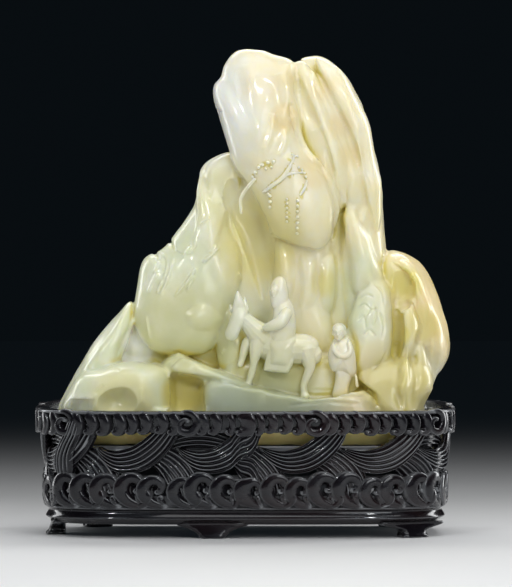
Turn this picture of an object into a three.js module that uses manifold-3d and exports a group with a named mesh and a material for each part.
// A pale jade boulder carved as a mountain with a rider, an attendant and a pine, standing loose
// in a dark openwork wood stand. Millimetres: X runs left to right, Y away from the front, Z up.
// The origin is on the floor, under the middle of the stand.
import * as THREE from 'three';
import { mergeVertices } from 'three/addons/utils/BufferGeometryUtils.js';
import Module from 'manifold-3d';

const wasm = await Module();
wasm.setup();

// Boulder
const BOULDER_WIDTH = 168;
const BOULDER_DEPTH = 74;
const BOULDER_HEIGHT = 170;
const FOOT_HALF_LENGTH = 78;
const FOOT_HALF_DEPTH = 36;
const FOOT_EDGE_ROUND = 5;
const FOOT_TOP = 16;
const FOOT_BATTER = 0.6;

// Stand, from the floor up
const FEET_HEIGHT = 5.8;
const BASE_HEIGHT = 7.6;
const FOAM_HEIGHT = 14.8;
const SEAT_HEIGHT = 38.7;
const SEAT_PLATE = 4;
const RIM_DROP = 10.5;
const RIM_TOP = 54.2;
const RIM_BACK_LIFT = 4.5;
const SEAT_GAP = 0.3;
const OVERLAP = 1;

// Stand, in plan
const PLAN_POWER = 4;
const WALL_GAP = 1.5;
const WALL_THICKNESS = 5;
const RIM_CLEARANCE = 0.8;
const RIM_FLARE = 8.7;
const RIM_WALL = 7.2;
const FOAM_FLARE = 5.4;
const BASE_FLARE = 4;
const BASE_COVE = 1.6;
const BASE_UNDERCUT = 3.4;
const TOE_FLARE = 2.2;
const BASE_WALL = 12;

// Carving of the stand
const WAVE_COUNT = 13;
const WAVE_START = 0.6126;
const WAVE_BAND = 8.5;
const WAVE_RELIEF = 3.8;
const CUP_SPAN = 28;
const CUP_DROP = 6.5;
const CUP_SAG = 4.5;
const ARCH_REACH = 15;
const ARCH_DROP = 4.5;
const RIM_CURL_PITCH = 5.4;
const RIM_CURL_DEPTH = 1.9;
const FOAM_CURL_PITCH = 9.6;
const FOAM_CURL_DEPTH = 2.2;
const FOOT_SPREAD = 15;
const FOOT_TOE = 6;
const FOOT_THICKNESS = 9;
const FOOT_ANGLES = [-176, -91.5, -43, 52, 128];

// Fineness of the solids
const OUTLINE_STEPS = 12;
const FOOT_SIDES = 24;
const CRAG_RINGS = 3;
const RING_STEPS = 28;
const BAND_SIDES = 4;
const PLAN_SAMPLES = 720;

const WALL_HALF_LENGTH = FOOT_HALF_LENGTH + WALL_GAP + WALL_THICKNESS / 2;
const WALL_HALF_DEPTH = FOOT_HALF_DEPTH + WALL_GAP + WALL_THICKNESS / 2;
const BOULDER_SEAT = SEAT_HEIGHT + SEAT_GAP;
const BASE_TOP = FEET_HEIGHT + BASE_HEIGHT;
const FOAM_TOP = BASE_TOP + FOAM_HEIGHT;

function solidFrom(geometry) {
  geometry.deleteAttribute('normal');
  geometry.deleteAttribute('uv');
  const merged = mergeVertices(geometry, 1e-4);
  const vertProperties = new Float32Array(merged.attributes.position.array);
  const triVerts = new Uint32Array(merged.index.array);
  if (signedVolume(vertProperties, triVerts) < 0) {
    for (let i = 0; i < triVerts.length; i += 3) {
      [triVerts[i], triVerts[i + 1]] = [triVerts[i + 1], triVerts[i]];
    }
  }
  return new wasm.Manifold(new wasm.Mesh({ numProp: 3, vertProperties, triVerts }));
}

function signedVolume(positions, triangles) {
  const corner = (i) => new THREE.Vector3().fromArray(positions, 3 * triangles[i]);
  let volume = 0;
  for (let i = 0; i < triangles.length; i += 3) {
    volume += corner(i).dot(corner(i + 1).cross(corner(i + 2))) / 6;
  }
  return volume;
}

function joined(solids) {
  return solids.reduce((whole, solid) => whole.add(solid));
}

function meshOf(solid, name, material) {
  const { vertProperties, triVerts } = solid.getMesh();
  const geometry = new THREE.BufferGeometry();
  geometry.setAttribute('position', new THREE.BufferAttribute(new Float32Array(vertProperties), 3));
  geometry.setIndex(new THREE.BufferAttribute(new Uint32Array(triVerts), 1));
  geometry.computeVertexNormals();
  const mesh = new THREE.Mesh(geometry, material);
  mesh.name = name;
  return mesh;
}

// A closed skin of rings between two end points. place(turn, row) gives the point at that share
// of a turn round the ring; row 0 and row rings + 1 are the end points.
function lofted(rings, sides, place) {
  const geometry = new THREE.SphereGeometry(1, sides, rings + 1);
  const { position, uv } = geometry.attributes;
  for (let i = 0; i < position.count; i += 1) {
    const row = Math.round((1 - uv.getY(i)) * (rings + 1));
    const atEnd = row === 0 || row === rings + 1;
    const turn = atEnd ? 0 : (Math.round(uv.getX(i) * sides) % sides) / sides;
    position.setXYZ(i, ...place(turn, row).toArray());
  }
  return solidFrom(geometry);
}

function signedPower(value, power) {
  return Math.sign(value) * Math.abs(value) ** power;
}

// Boulder sizes are shares, in percent: x of its width from the middle, y of its depth from the
// middle, z of its height from its seat.
function boulderPoint(x, y, z) {
  return new THREE.Vector3(
    (x / 100) * BOULDER_WIDTH,
    (y / 100) * BOULDER_DEPTH,
    BOULDER_SEAT + (z / 100) * BOULDER_HEIGHT,
  );
}

// One mass of rock: an outline seen from the front, domed towards the front and the back.
// lean moves it back for each percent of height, and crest is the front point it domes to.
function crag({
  outline, front, back, power = 2.6, lean = 0, crest = null, steps = OUTLINE_STEPS, rings = CRAG_RINGS,
}) {
  const curve = new THREE.CatmullRomCurve3(
    outline.map(([x, z]) => new THREE.Vector3(x, 0, z)), true, 'centripetal',
  );
  const middle = new THREE.Vector3();
  outline.forEach(([x, z]) => middle.add(new THREE.Vector3(x, 0, z).divideScalar(outline.length)));
  const top = crest ? new THREE.Vector3(crest[0], 0, crest[1]) : middle;
  return lofted(rings, steps, (turn, row) => {
    const angle = (Math.PI * row) / (rings + 1);
    const spread = Math.sin(angle) ** (2 / power);
    const forward = signedPower(Math.cos(angle), 2 / power);
    const centre = middle.clone().lerp(top, Math.max(0, forward));
    const flat = centre.lerp(curve.getPoint(turn), row % (rings + 1) === 0 ? 0 : spread);
    const depth = (front + back) / 2 - (forward * (back - front)) / 2 + lean * (flat.z - middle.z);
    return boulderPoint(flat.x, depth, flat.z);
  });
}

// A round limb through stations [x, y, z, radius], in shares; the radius is one of the height.
function limb(stations, sides = 6, flatness = 1) {
  const points = stations.map(([x, y, z]) => boulderPoint(x, y, z));
  const radii = stations.map((station) => (station[3] / 100) * BOULDER_HEIGHT);
  const tangentAt = (i) => points[Math.min(i + 1, points.length - 1)].clone()
    .sub(points[Math.max(i - 1, 0)]).normalize();
  return lofted(points.length, sides, (turn, row) => {
    if (row === 0) {
      return points[0].clone().addScaledVector(tangentAt(0), -radii[0] * 0.7);
    }
    if (row > points.length) {
      const last = points.length - 1;
      return points[last].clone().addScaledVector(tangentAt(last), radii[last] * 0.7);
    }
    const i = row - 1;
    const side = tangentAt(i).cross(new THREE.Vector3(0, 1, 0)).normalize();
    const depth = side.clone().cross(tangentAt(i)).normalize();
    return points[i].clone()
      .addScaledVector(side, radii[i] * Math.cos(2 * Math.PI * turn))
      .addScaledVector(depth, radii[i] * flatness * Math.sin(2 * Math.PI * turn));
  });
}

// The wall of the stand is a superellipse in plan, walked by its arc length from the right end.
const planAngles = arcLengthAngles();

function planPoint(angle, out) {
  return new THREE.Vector3(
    (WALL_HALF_LENGTH + out) * signedPower(Math.cos(angle), 2 / PLAN_POWER),
    (WALL_HALF_DEPTH + out) * signedPower(Math.sin(angle), 2 / PLAN_POWER),
    0,
  );
}

function arcLengthAngles() {
  const lengths = [0];
  for (let i = 1; i <= PLAN_SAMPLES; i += 1) {
    const before = planPoint((2 * Math.PI * (i - 1)) / PLAN_SAMPLES, 0);
    const after = planPoint((2 * Math.PI * i) / PLAN_SAMPLES, 0);
    lengths.push(lengths[i - 1] + before.distanceTo(after));
  }
  return { lengths, total: lengths[PLAN_SAMPLES] };
}

function angleAt(share) {
  const wanted = (share - Math.floor(share)) * planAngles.total;
  const i = Math.min(planAngles.lengths.findIndex((length) => length > wanted), PLAN_SAMPLES);
  const before = planAngles.lengths[i - 1];
  const part = (wanted - before) / (planAngles.lengths[i] - before);
  return (2 * Math.PI * (i - 1 + part)) / PLAN_SAMPLES;
}

function onWall(share, out, z) {
  return planPoint(angleAt(share), out).setZ(z);
}

function backShare(share) {
  return (1 + Math.sin(angleAt(share))) / 2;
}

// A closed ring round the plan; profile(station) lists its corners as { out, z, lead }, where
// lead shifts a corner along the wall, in stations.
function ring(stations, corners, profile) {
  const geometry = new THREE.TorusGeometry(1, 1, corners, stations);
  const { position, uv } = geometry.attributes;
  for (let i = 0; i < position.count; i += 1) {
    const station = Math.round(uv.getX(i) * stations) % stations;
    const corner = Math.round(uv.getY(i) * corners) % corners;
    const { out, z, lead = 0 } = profile(station)[corner];
    position.setXYZ(i, ...onWall((station + lead) / stations, out, z).toArray());
  }
  return solidFrom(geometry);
}

// A carved band of water over the wall, through stations { along, z, out, width }; along is in
// millimetres from where its wave starts.
function waveBand(start, stations) {
  const smooth = new THREE.CatmullRomCurve3(stations.map(({ along, z, out }) => new THREE.Vector3(along, out, z)));
  return lofted(stations.length, BAND_SIDES, (turn, row) => {
    const share = THREE.MathUtils.clamp((row - 1) / (stations.length - 1), 0, 1);
    const middle = smooth.getPoint(share);
    const tangent = smooth.getTangent(share).setY(0).normalize();
    if (row === 0 || row > stations.length) {
      middle.addScaledVector(tangent, row === 0 ? -OVERLAP : OVERLAP);
      return onWall(start + middle.x / planAngles.total, middle.y, middle.z);
    }
    const width = stations[row - 1].width / 2;
    const around = 2 * Math.PI * (turn + 0.25);
    const across = width * signedPower(Math.cos(around), 0.8);
    const raised = (WALL_THICKNESS / 2) * Math.sin(around);
    const along = middle.x - tangent.z * across;
    const height = middle.z + tangent.x * across;
    return onWall(start + along / planAngles.total, middle.y + raised, height);
  });
}

function wave(index) {
  const start = WAVE_START + index / WAVE_COUNT;
  const rimFoot = RIM_TOP - RIM_DROP + RIM_BACK_LIFT * backShare(start) ** 2;
  const cupLow = SEAT_HEIGHT - CUP_DROP;
  const cup = waveBand(start, [
    { along: 0, z: cupLow + CUP_SAG, out: 0.37 * WAVE_RELIEF, width: 0.5 * WAVE_BAND },
    { along: 0.36 * CUP_SPAN, z: cupLow, out: 0.79 * WAVE_RELIEF, width: WAVE_BAND },
    { along: 0.71 * CUP_SPAN, z: cupLow + CUP_SAG, out: 0.84 * WAVE_RELIEF, width: WAVE_BAND },
    { along: CUP_SPAN, z: rimFoot + 2 * OVERLAP, out: WAVE_RELIEF, width: 0.8 * WAVE_BAND },
  ]);
  const arch = waveBand(start, [
    { along: -ARCH_REACH, z: SEAT_HEIGHT - ARCH_DROP, out: -0.1 * WAVE_RELIEF, width: 0.8 * WAVE_BAND },
    { along: -0.23 * ARCH_REACH, z: SEAT_HEIGHT - 1.9 * ARCH_DROP, out: 0.16 * WAVE_RELIEF, width: 1.5 * WAVE_BAND },
    { along: 0.1 * ARCH_REACH, z: FOAM_TOP - 0.47 * FOAM_HEIGHT, out: 0.47 * WAVE_RELIEF, width: 1.4 * WAVE_BAND },
  ]);
  return cup.add(arch);
}

function rimRing() {
  const curls = Math.round(planAngles.total / RIM_CURL_PITCH);
  const inner = RIM_FLARE - RIM_WALL;
  return ring(2 * curls, 4, (station) => {
    const dip = (station % 2) * RIM_CURL_DEPTH;
    const top = RIM_TOP + RIM_BACK_LIFT * backShare(station / (2 * curls)) ** 2;
    return [
      { out: inner, z: top - 0.9 * RIM_DROP },
      { out: inner + 0.14 * RIM_WALL, z: top - dip / 2, lead: -0.7 },
      { out: RIM_FLARE - dip, z: top - 0.29 * RIM_DROP - dip / 4, lead: -0.3 },
      { out: RIM_FLARE - 0.17 * RIM_WALL - dip, z: top - RIM_DROP + dip, lead: 0.4 },
    ];
  });
}

function foamRing() {
  const curls = Math.round(planAngles.total / FOAM_CURL_PITCH);
  const inner = FOAM_FLARE - 1.14 * RIM_WALL;
  return ring(2 * curls, 4, (station) => {
    const dip = (station % 2) * FOAM_CURL_DEPTH;
    return [
      { out: inner, z: BASE_TOP - OVERLAP },
      { out: inner + 0.22 * RIM_WALL, z: FOAM_TOP - dip, lead: 0.5 },
      { out: FOAM_FLARE - dip / 2, z: BASE_TOP + FOAM_HEIGHT / 2, lead: 0.2 },
      { out: FOAM_FLARE - 0.17 * RIM_WALL, z: BASE_TOP - OVERLAP / 2 },
    ];
  });
}

function baseRing() {
  const inner = BASE_FLARE - BASE_WALL;
  const profile = [
    { out: inner, z: FEET_HEIGHT },
    { out: inner, z: BASE_TOP },
    { out: BASE_FLARE, z: BASE_TOP },
    { out: BASE_FLARE, z: BASE_TOP - 0.2 * BASE_HEIGHT },
    { out: BASE_FLARE - BASE_COVE, z: BASE_TOP - 0.4 * BASE_HEIGHT },
    { out: BASE_FLARE, z: BASE_TOP - 0.75 * BASE_HEIGHT },
    { out: BASE_FLARE - BASE_UNDERCUT, z: FEET_HEIGHT },
  ];
  return ring(RING_STEPS, profile.length, () => profile);
}

function seatPlate() {
  const outline = new THREE.Shape(Array.from({ length: RING_STEPS }, (_, i) => {
    const corner = onWall(i / RING_STEPS, -WALL_THICKNESS / 4, 0);
    return new THREE.Vector2(corner.x, corner.y);
  }));
  const plate = new THREE.ExtrudeGeometry(outline, { depth: SEAT_PLATE, bevelEnabled: false });
  plate.translate(0, 0, SEAT_HEIGHT - SEAT_PLATE);
  return solidFrom(plate);
}

// A bracket foot: an outline along the wall, spreading under the base and ending in a flared toe.
function bracketFoot(degrees) {
  const half = [
    { along: FOOT_SPREAD, z: FEET_HEIGHT + OVERLAP },
    { along: FOOT_SPREAD, z: 0.86 * FEET_HEIGHT },
    { along: 0.7 * FOOT_SPREAD, z: 0.66 * FEET_HEIGHT },
    { along: FOOT_TOE, z: 0.5 * FEET_HEIGHT },
    { along: FOOT_TOE, z: 0.16 * FEET_HEIGHT },
    { along: 0.8 * FOOT_TOE, z: 0 },
  ];
  const corners = [...half, ...half.toReversed().map(({ along, z }) => ({ along: -along, z }))];
  const outline = new THREE.Shape(corners.map(({ along, z }) => new THREE.Vector2(along, z)));
  const foot = new THREE.ExtrudeGeometry(outline, { depth: FOOT_THICKNESS, bevelEnabled: false });
  const angle = THREE.MathUtils.degToRad(degrees);
  const place = planPoint(angle, BASE_FLARE - OVERLAP);
  const along = planPoint(angle + 0.02, 0).sub(planPoint(angle - 0.02, 0)).normalize();
  const inward = new THREE.Vector3(-along.y, along.x, 0);
  const { position } = foot.attributes;
  for (let i = 0; i < position.count; i += 1) {
    const flare = position.getZ(i) === 0 && position.getY(i) < FEET_HEIGHT / 3 ? TOE_FLARE : 0;
    const corner = place.clone()
      .addScaledVector(along, position.getX(i))
      .addScaledVector(inward, position.getZ(i) - flare)
      .setZ(position.getY(i));
    position.setXYZ(i, ...corner.toArray());
  }
  return solidFrom(foot);
}

// A closed stack of outlines like the foot's, each { z, grow } larger than the foot by grow.
function footStack(rows) {
  return lofted(rows.length, FOOT_SIDES, (turn, row) => {
    const { z, grow } = rows[THREE.MathUtils.clamp(row - 1, 0, rows.length - 1)];
    const reach = row === 0 || row > rows.length ? 0 : 1;
    const angle = 2 * Math.PI * turn;
    return new THREE.Vector3(
      reach * (FOOT_HALF_LENGTH + grow) * signedPower(Math.cos(angle), 2 / PLAN_POWER),
      reach * (FOOT_HALF_DEPTH + grow) * signedPower(Math.sin(angle), 2 / PLAN_POWER),
      z,
    );
  });
}

function boulderFoot() {
  return footStack([
    { z: BOULDER_SEAT, grow: -FOOT_EDGE_ROUND },
    { z: BOULDER_SEAT + FOOT_EDGE_ROUND, grow: -FOOT_BATTER },
    { z: BOULDER_SEAT + FOOT_TOP, grow: -FOOT_BATTER },
  ]);
}

// The room that the stand leaves: the boulder stays inside the wall and inside the rim.
function roomInStand() {
  const rimFoot = RIM_TOP - RIM_DROP;
  const rimGrow = WALL_GAP + WALL_THICKNESS / 2 + RIM_FLARE - RIM_WALL - RIM_CLEARANCE;
  return footStack([
    { z: BOULDER_SEAT - OVERLAP, grow: 0 },
    { z: rimFoot, grow: 0 },
    { z: RIM_TOP, grow: rimGrow },
    { z: RIM_TOP + RIM_BACK_LIFT, grow: rimGrow },
    { z: RIM_TOP + RIM_BACK_LIFT + OVERLAP, grow: BOULDER_DEPTH },
    { z: BOULDER_SEAT + BOULDER_HEIGHT + OVERLAP, grow: BOULDER_DEPTH },
  ]);
}

const MASSES = [
  { // body of the mountain
    outline: [[-37, 6.5], [-32.5, 20], [-29.8, 31], [-23.8, 41.8], [-11.9, 58.2], [-5.4, 72.9], [-5.4, 88.8],
      [1.2, 97.1], [13.1, 96.5], [22.6, 93], [30.4, 77.1], [34.5, 59.4], [35.7, 46.5], [44, 41.8],
      [49.4, 28.8], [47.6, 12.4], [35.7, 4.1], [0, 2.9], [-26.8, 2.9]],
    front: -14, back: 40, lean: -0.12, power: 3, steps: 18, rings: 2,
  },
  { // overhanging summit
    outline: [[-5.4, 96.5], [2.4, 100], [8.9, 98.5], [12.8, 94.7], [14, 86.5], [14.9, 75.9], [19.6, 69.7],
      [23.5, 62.9], [23.8, 54.1], [19.6, 49.4], [7.1, 53.2], [3, 61.2], [-3, 71.2], [-6.5, 80.6], [-8.2, 88.8]],
    front: -35, back: 6, lean: 0.22, crest: [7, 72], steps: 18,
  },
  { // narrow ridge behind the summit
    outline: [[12.8, 97.1], [16.7, 94.1], [20.2, 89.7], [23.8, 82.4], [26.5, 75.9], [28.7, 68.8], [26.8, 62.9],
      [22.6, 57.1], [19.6, 65.3], [16.1, 72.9], [13.1, 81.2], [11.3, 90]],
    front: -24, back: 4, lean: 0.1,
  },
  { // right ridge, running down behind the attendant
    outline: [[14.3, 97.6], [17.9, 98.7], [21.4, 97.6], [25.6, 94.1], [29.8, 86.8], [32.1, 80], [34.5, 70.6],
      [36.1, 53.5], [36.9, 38.8], [36.9, 24.1], [29.8, 15.9], [25, 30], [23.8, 48.8], [26.2, 60.6],
      [28.9, 68.8], [26.2, 78.2], [20.8, 92.4]],
    front: -20, back: 30, steps: 16,
  },
  { // left cliff
    outline: [[-3.6, 73.8], [-8.3, 72.6], [-11.5, 69.4], [-11.9, 63.5], [-16.7, 55.3], [-21.4, 49.4],
      [-25.9, 46.8], [-27.7, 40.6], [-28.3, 30], [-25.6, 24.7], [-17.9, 22.1], [-9.5, 23.5], [-5.4, 28.8],
      [-1.8, 38.2], [-0.6, 48.8], [-3.6, 57.1], [-2.4, 65.3]],
    front: -24, back: 12, lean: 0.3, crest: [-14, 36], steps: 18,
  },
  { // column behind the rider
    outline: [[7.1, 55.3], [7.5, 46.5], [6.5, 36.5], [4.8, 27.6], [4.8, 18.2], [14.3, 14.7], [26.2, 15.9],
      [23.8, 25.9], [22, 36.5], [22.6, 48.8], [22.9, 55.9], [14.9, 59.4]],
    front: -21, back: 14,
  },
  { // right wall
    outline: [[35.7, 48.2], [40.2, 48.6], [44, 46.8], [47, 43.2], [50.3, 35.9], [52.1, 28.8], [52.4, 22.4],
      [50.6, 15.9], [48.2, 10.6], [44, 5.9], [36.9, 5.3], [34.5, 18.2], [33.9, 35.9]],
    front: -26, back: 34, crest: [44, 34],
  },
  { // slender leaning rock at the left
    outline: [[-29.5, 35.9], [-32.7, 32.9], [-37.3, 27.8], [-41.7, 20.9], [-45.8, 13.5], [-47.9, 7.6],
      [-40.5, 5.3], [-33.9, 12.4], [-31.5, 21.8], [-29.5, 28.2], [-28, 32.4]],
    front: -28, back: 14, lean: 0.2,
  },
  { // domed rock at the front left
    outline: [[-47.3, 8.2], [-45.2, 13.8], [-42.3, 17.6], [-36.9, 19], [-30.4, 20.6], [-22.6, 20.4],
      [-19.3, 18.8], [-18.6, 12.9], [-19.6, 6.5], [-29.8, 4.1], [-42.9, 4.7]],
    front: -50, back: 14, power: 3.2, steps: 16,
  },
  { // ledge that carries the path
    outline: [[-20.8, 20.9], [-16.7, 22.1], [-11.3, 20.2], [-3.6, 17.4], [3, 14.4], [14.9, 11.8], [26.2, 11.4],
      [33.3, 9.1], [33.9, 4.7], [11.9, 2.9], [-12, 2.9], [-23, 5]],
    front: -50, back: 10, power: 6, steps: 18,
  },
  { // rocks at the right corner
    outline: [[27.4, 17.6], [31, 13.5], [33.3, 7.6], [36.9, 4.1], [44.6, 4.1], [48.8, 10], [50.4, 16.4],
      [46, 21.4], [37.5, 22.6], [29.8, 20.6]],
    front: -44, back: 6, lean: 0.6, crest: [35, 12], steps: 14,
  },
  { // foliage rock behind the attendant
    outline: [[32.1, 40.9], [29.6, 39.1], [27.7, 34.7], [26.2, 30.6], [27.7, 24.1], [28, 17.6], [31.5, 16.5],
      [35.7, 20], [36.8, 27.1], [36.7, 35.9], [35.1, 40.3]],
    front: -36, back: -4, lean: 0.25, steps: 12, rings: 2,
  },
  { // upright slab at the right
    outline: [[38.7, 35.6], [41.1, 36.5], [43.2, 32.9], [43.9, 25.3], [42.3, 19.4], [39.3, 19.4], [38.4, 27.1]],
    front: -34, back: -4, steps: 10, rings: 2,
  },
  { // cliff on the back, low and left
    outline: [[-28.6, 12.4], [-25, 35.9], [-13.1, 52.4], [-3.6, 47.6], [0, 30], [-3.6, 10], [-17.9, 5.3]],
    front: 6, back: 48, lean: -0.15, steps: 12, rings: 2,
  },
  { // low rocks on the back, left
    outline: [[-45, 4], [-43.5, 14], [-37, 21], [-26, 24], [-12, 16], [-8, 6], [-26, 3]],
    front: -16, back: 47, power: 3, steps: 12, rings: 2,
  },
  { // peak on the back
    outline: [[-3.6, 65.3], [0, 92.4], [11.9, 95.9], [21.4, 88.8], [26.2, 65.3], [21.4, 35.9], [9.5, 30],
      [0, 41.8]],
    front: -8, back: 42, lean: -0.15, steps: 12, rings: 2,
  },
  { // shoulder on the back, right
    outline: [[14.3, 53.5], [26.2, 65.3], [34.5, 47.6], [46.4, 35.9], [47.6, 14.7], [35.7, 6.5], [17.9, 8.8],
      [11.9, 30]],
    front: 6, back: 50, lean: -0.15, steps: 12, rings: 2,
  },
];

const RECESSES = [
  { // cave between the cliff and the column
    outline: [[-5.4, 60], [-2.7, 55.1], [-0.4, 48.8], [1.5, 43.4], [3, 38.2], [5, 32.4], [6.8, 39.4],
      [7.6, 45.3], [7.1, 53.5], [5.4, 58.2], [1.8, 61.8], [-1.8, 63.5]],
    front: -34, back: -1, steps: 10, rings: 2,
  },
  { // scoop in the domed rock
    outline: [[-39.3, 9.4], [-38.1, 12.9], [-33.9, 15.3], [-28.6, 15.6], [-25.6, 12.9], [-25.6, 8.8],
      [-29.8, 5.9], [-36.9, 5.9]],
    front: -70, back: -36, steps: 10, rings: 2,
  },
  { // hollow under the path
    outline: [[-18.8, 17.6], [-14.3, 17.1], [-11, 14.1], [-11, 7.6], [-14.9, 5.9], [-18.8, 7.6]],
    front: -62, back: -38, steps: 8, rings: 2,
  },
  { // hollow in the right wall
    outline: [[36.9, 46.5], [40.5, 46.2], [42.9, 42.9], [43.5, 38.2], [41.7, 34.1], [38.1, 34.1], [36.6, 39.4]],
    front: -40, back: -12, steps: 9, rings: 2,
  },
];

const MULE = [
  limb([[3.6, -31, 27.6, 3.6], [8, -31, 24.4, 4.4], [13, -30, 24, 4.3], [17, -31, 23, 3.8]], 8),
  limb([[0.2, -33, 34.6, 2], [1.8, -32, 31, 2.7], [3.6, -31, 27, 3.4]], 7),
  limb([[-0.6, -33, 35, 1.9], [-2.4, -34, 30.6, 1.6], [-3.4, -35, 27.6, 1.2]], 6),
  limb([[-0.8, -33, 35, 0.7], [-1.9, -33, 38.4, 0.4]], 4),
  limb([[0.2, -33, 35.2, 0.7], [0.3, -32, 38.2, 0.4]], 4),
  limb([[3, -34, 25.5, 1.9], [1.6, -35, 20.6, 1.1], [1.2, -35, 15.4, 0.8]], 5),
  limb([[2.6, -27, 24, 1.7], [-1.4, -28, 21.4, 1.1], [-0.6, -28, 17.6, 0.8]], 5),
  limb([[16.2, -34, 22.4, 2.7], [15.7, -35, 17, 1.3], [15.4, -35, 11.4, 0.9]], 5),
  limb([[17.6, -28, 21, 2.2], [18.4, -28, 16.4, 1.1], [17.8, -28, 12, 0.9]], 5),
  limb([[18.4, -30, 23, 0.9], [18.9, -30, 18.6, 0.7]], 4),
];

const RIDER = [
  limb([[10.2, -33, 21, 1.6], [8.6, -33, 27, 4.6], [9.4, -32, 33, 3.6], [9, -31, 36.4, 1.8]], 8),
  limb([[8.4, -33, 37.4, 2.3], [8.5, -33, 39.6, 2.2]], 8),
  limb([[11, -36, 33, 1.4], [7.6, -39, 30.4, 1.2], [4.8, -38, 30.6, 0.9]], 5),
  limb([[7.4, -39, 27, 1.7], [7, -41, 22, 1.4], [5.8, -41, 19, 1]], 6),
];

const ATTENDANT = [
  limb([[23.6, -35, 28, 2], [23.7, -35, 29.4, 1.9]], 7),
  limb([[23.8, -34, 25.6, 2.3], [24.4, -34, 21.4, 3.2], [24.2, -34, 18.6, 3]], 8),
  limb([[22.8, -36, 18, 1.4], [22.6, -36, 12.2, 1.2]], 5),
  limb([[25.6, -34, 18, 1.4], [25.4, -34, 12.4, 1.2]], 5),
  limb([[21.6, -39, 24.4, 1.1], [23.6, -41, 22.6, 1.1], [25.8, -39, 24.2, 1.1]], 5),
];

const PINE = [
  limb([[1.4, -33, 62, 1.3], [4.4, -36, 67, 1.4], [9, -35, 70.4, 1]], 5),
  limb([[6.6, -36, 64, 1], [9.4, -35.5, 68, 1.1], [12, -33, 72, 1]], 5),
  limb([[2.4, -36, 70.2, 2], [6.8, -36, 71.4, 2.3]], 6),
  limb([[9, -36, 64.6, 1.8], [13.4, -35, 65.6, 2]], 6),
  limb([[10, -35, 73, 1.8], [12.4, -33, 74, 1.8]], 6),
];

function boulder() {
  const rock = joined([boulderFoot(), ...MASSES.map(crag)]);
  const carved = RECESSES.map(crag).reduce((whole, recess) => whole.subtract(recess), rock);
  return joined([carved, ...MULE, ...RIDER, ...ATTENDANT, ...PINE]).intersect(roomInStand());
}

function stand() {
  const waves = Array.from({ length: WAVE_COUNT }, (_, i) => wave(i));
  const feet = FOOT_ANGLES.map(bracketFoot);
  return joined([rimRing(), foamRing(), baseRing(), seatPlate(), ...feet, ...waves]);
}

const jade = new THREE.MeshStandardMaterial({ color: '#dfe2c6', roughness: 0.25, metalness: 0 });
const darkWood = new THREE.MeshStandardMaterial({ color: '#1c1315', roughness: 0.35, metalness: 0 });

const carving = new THREE.Group();
carving.add(meshOf(boulder(), 'jade_boulder', jade));
carving.add(meshOf(stand(), 'wood_stand', darkWood));

export default carving;
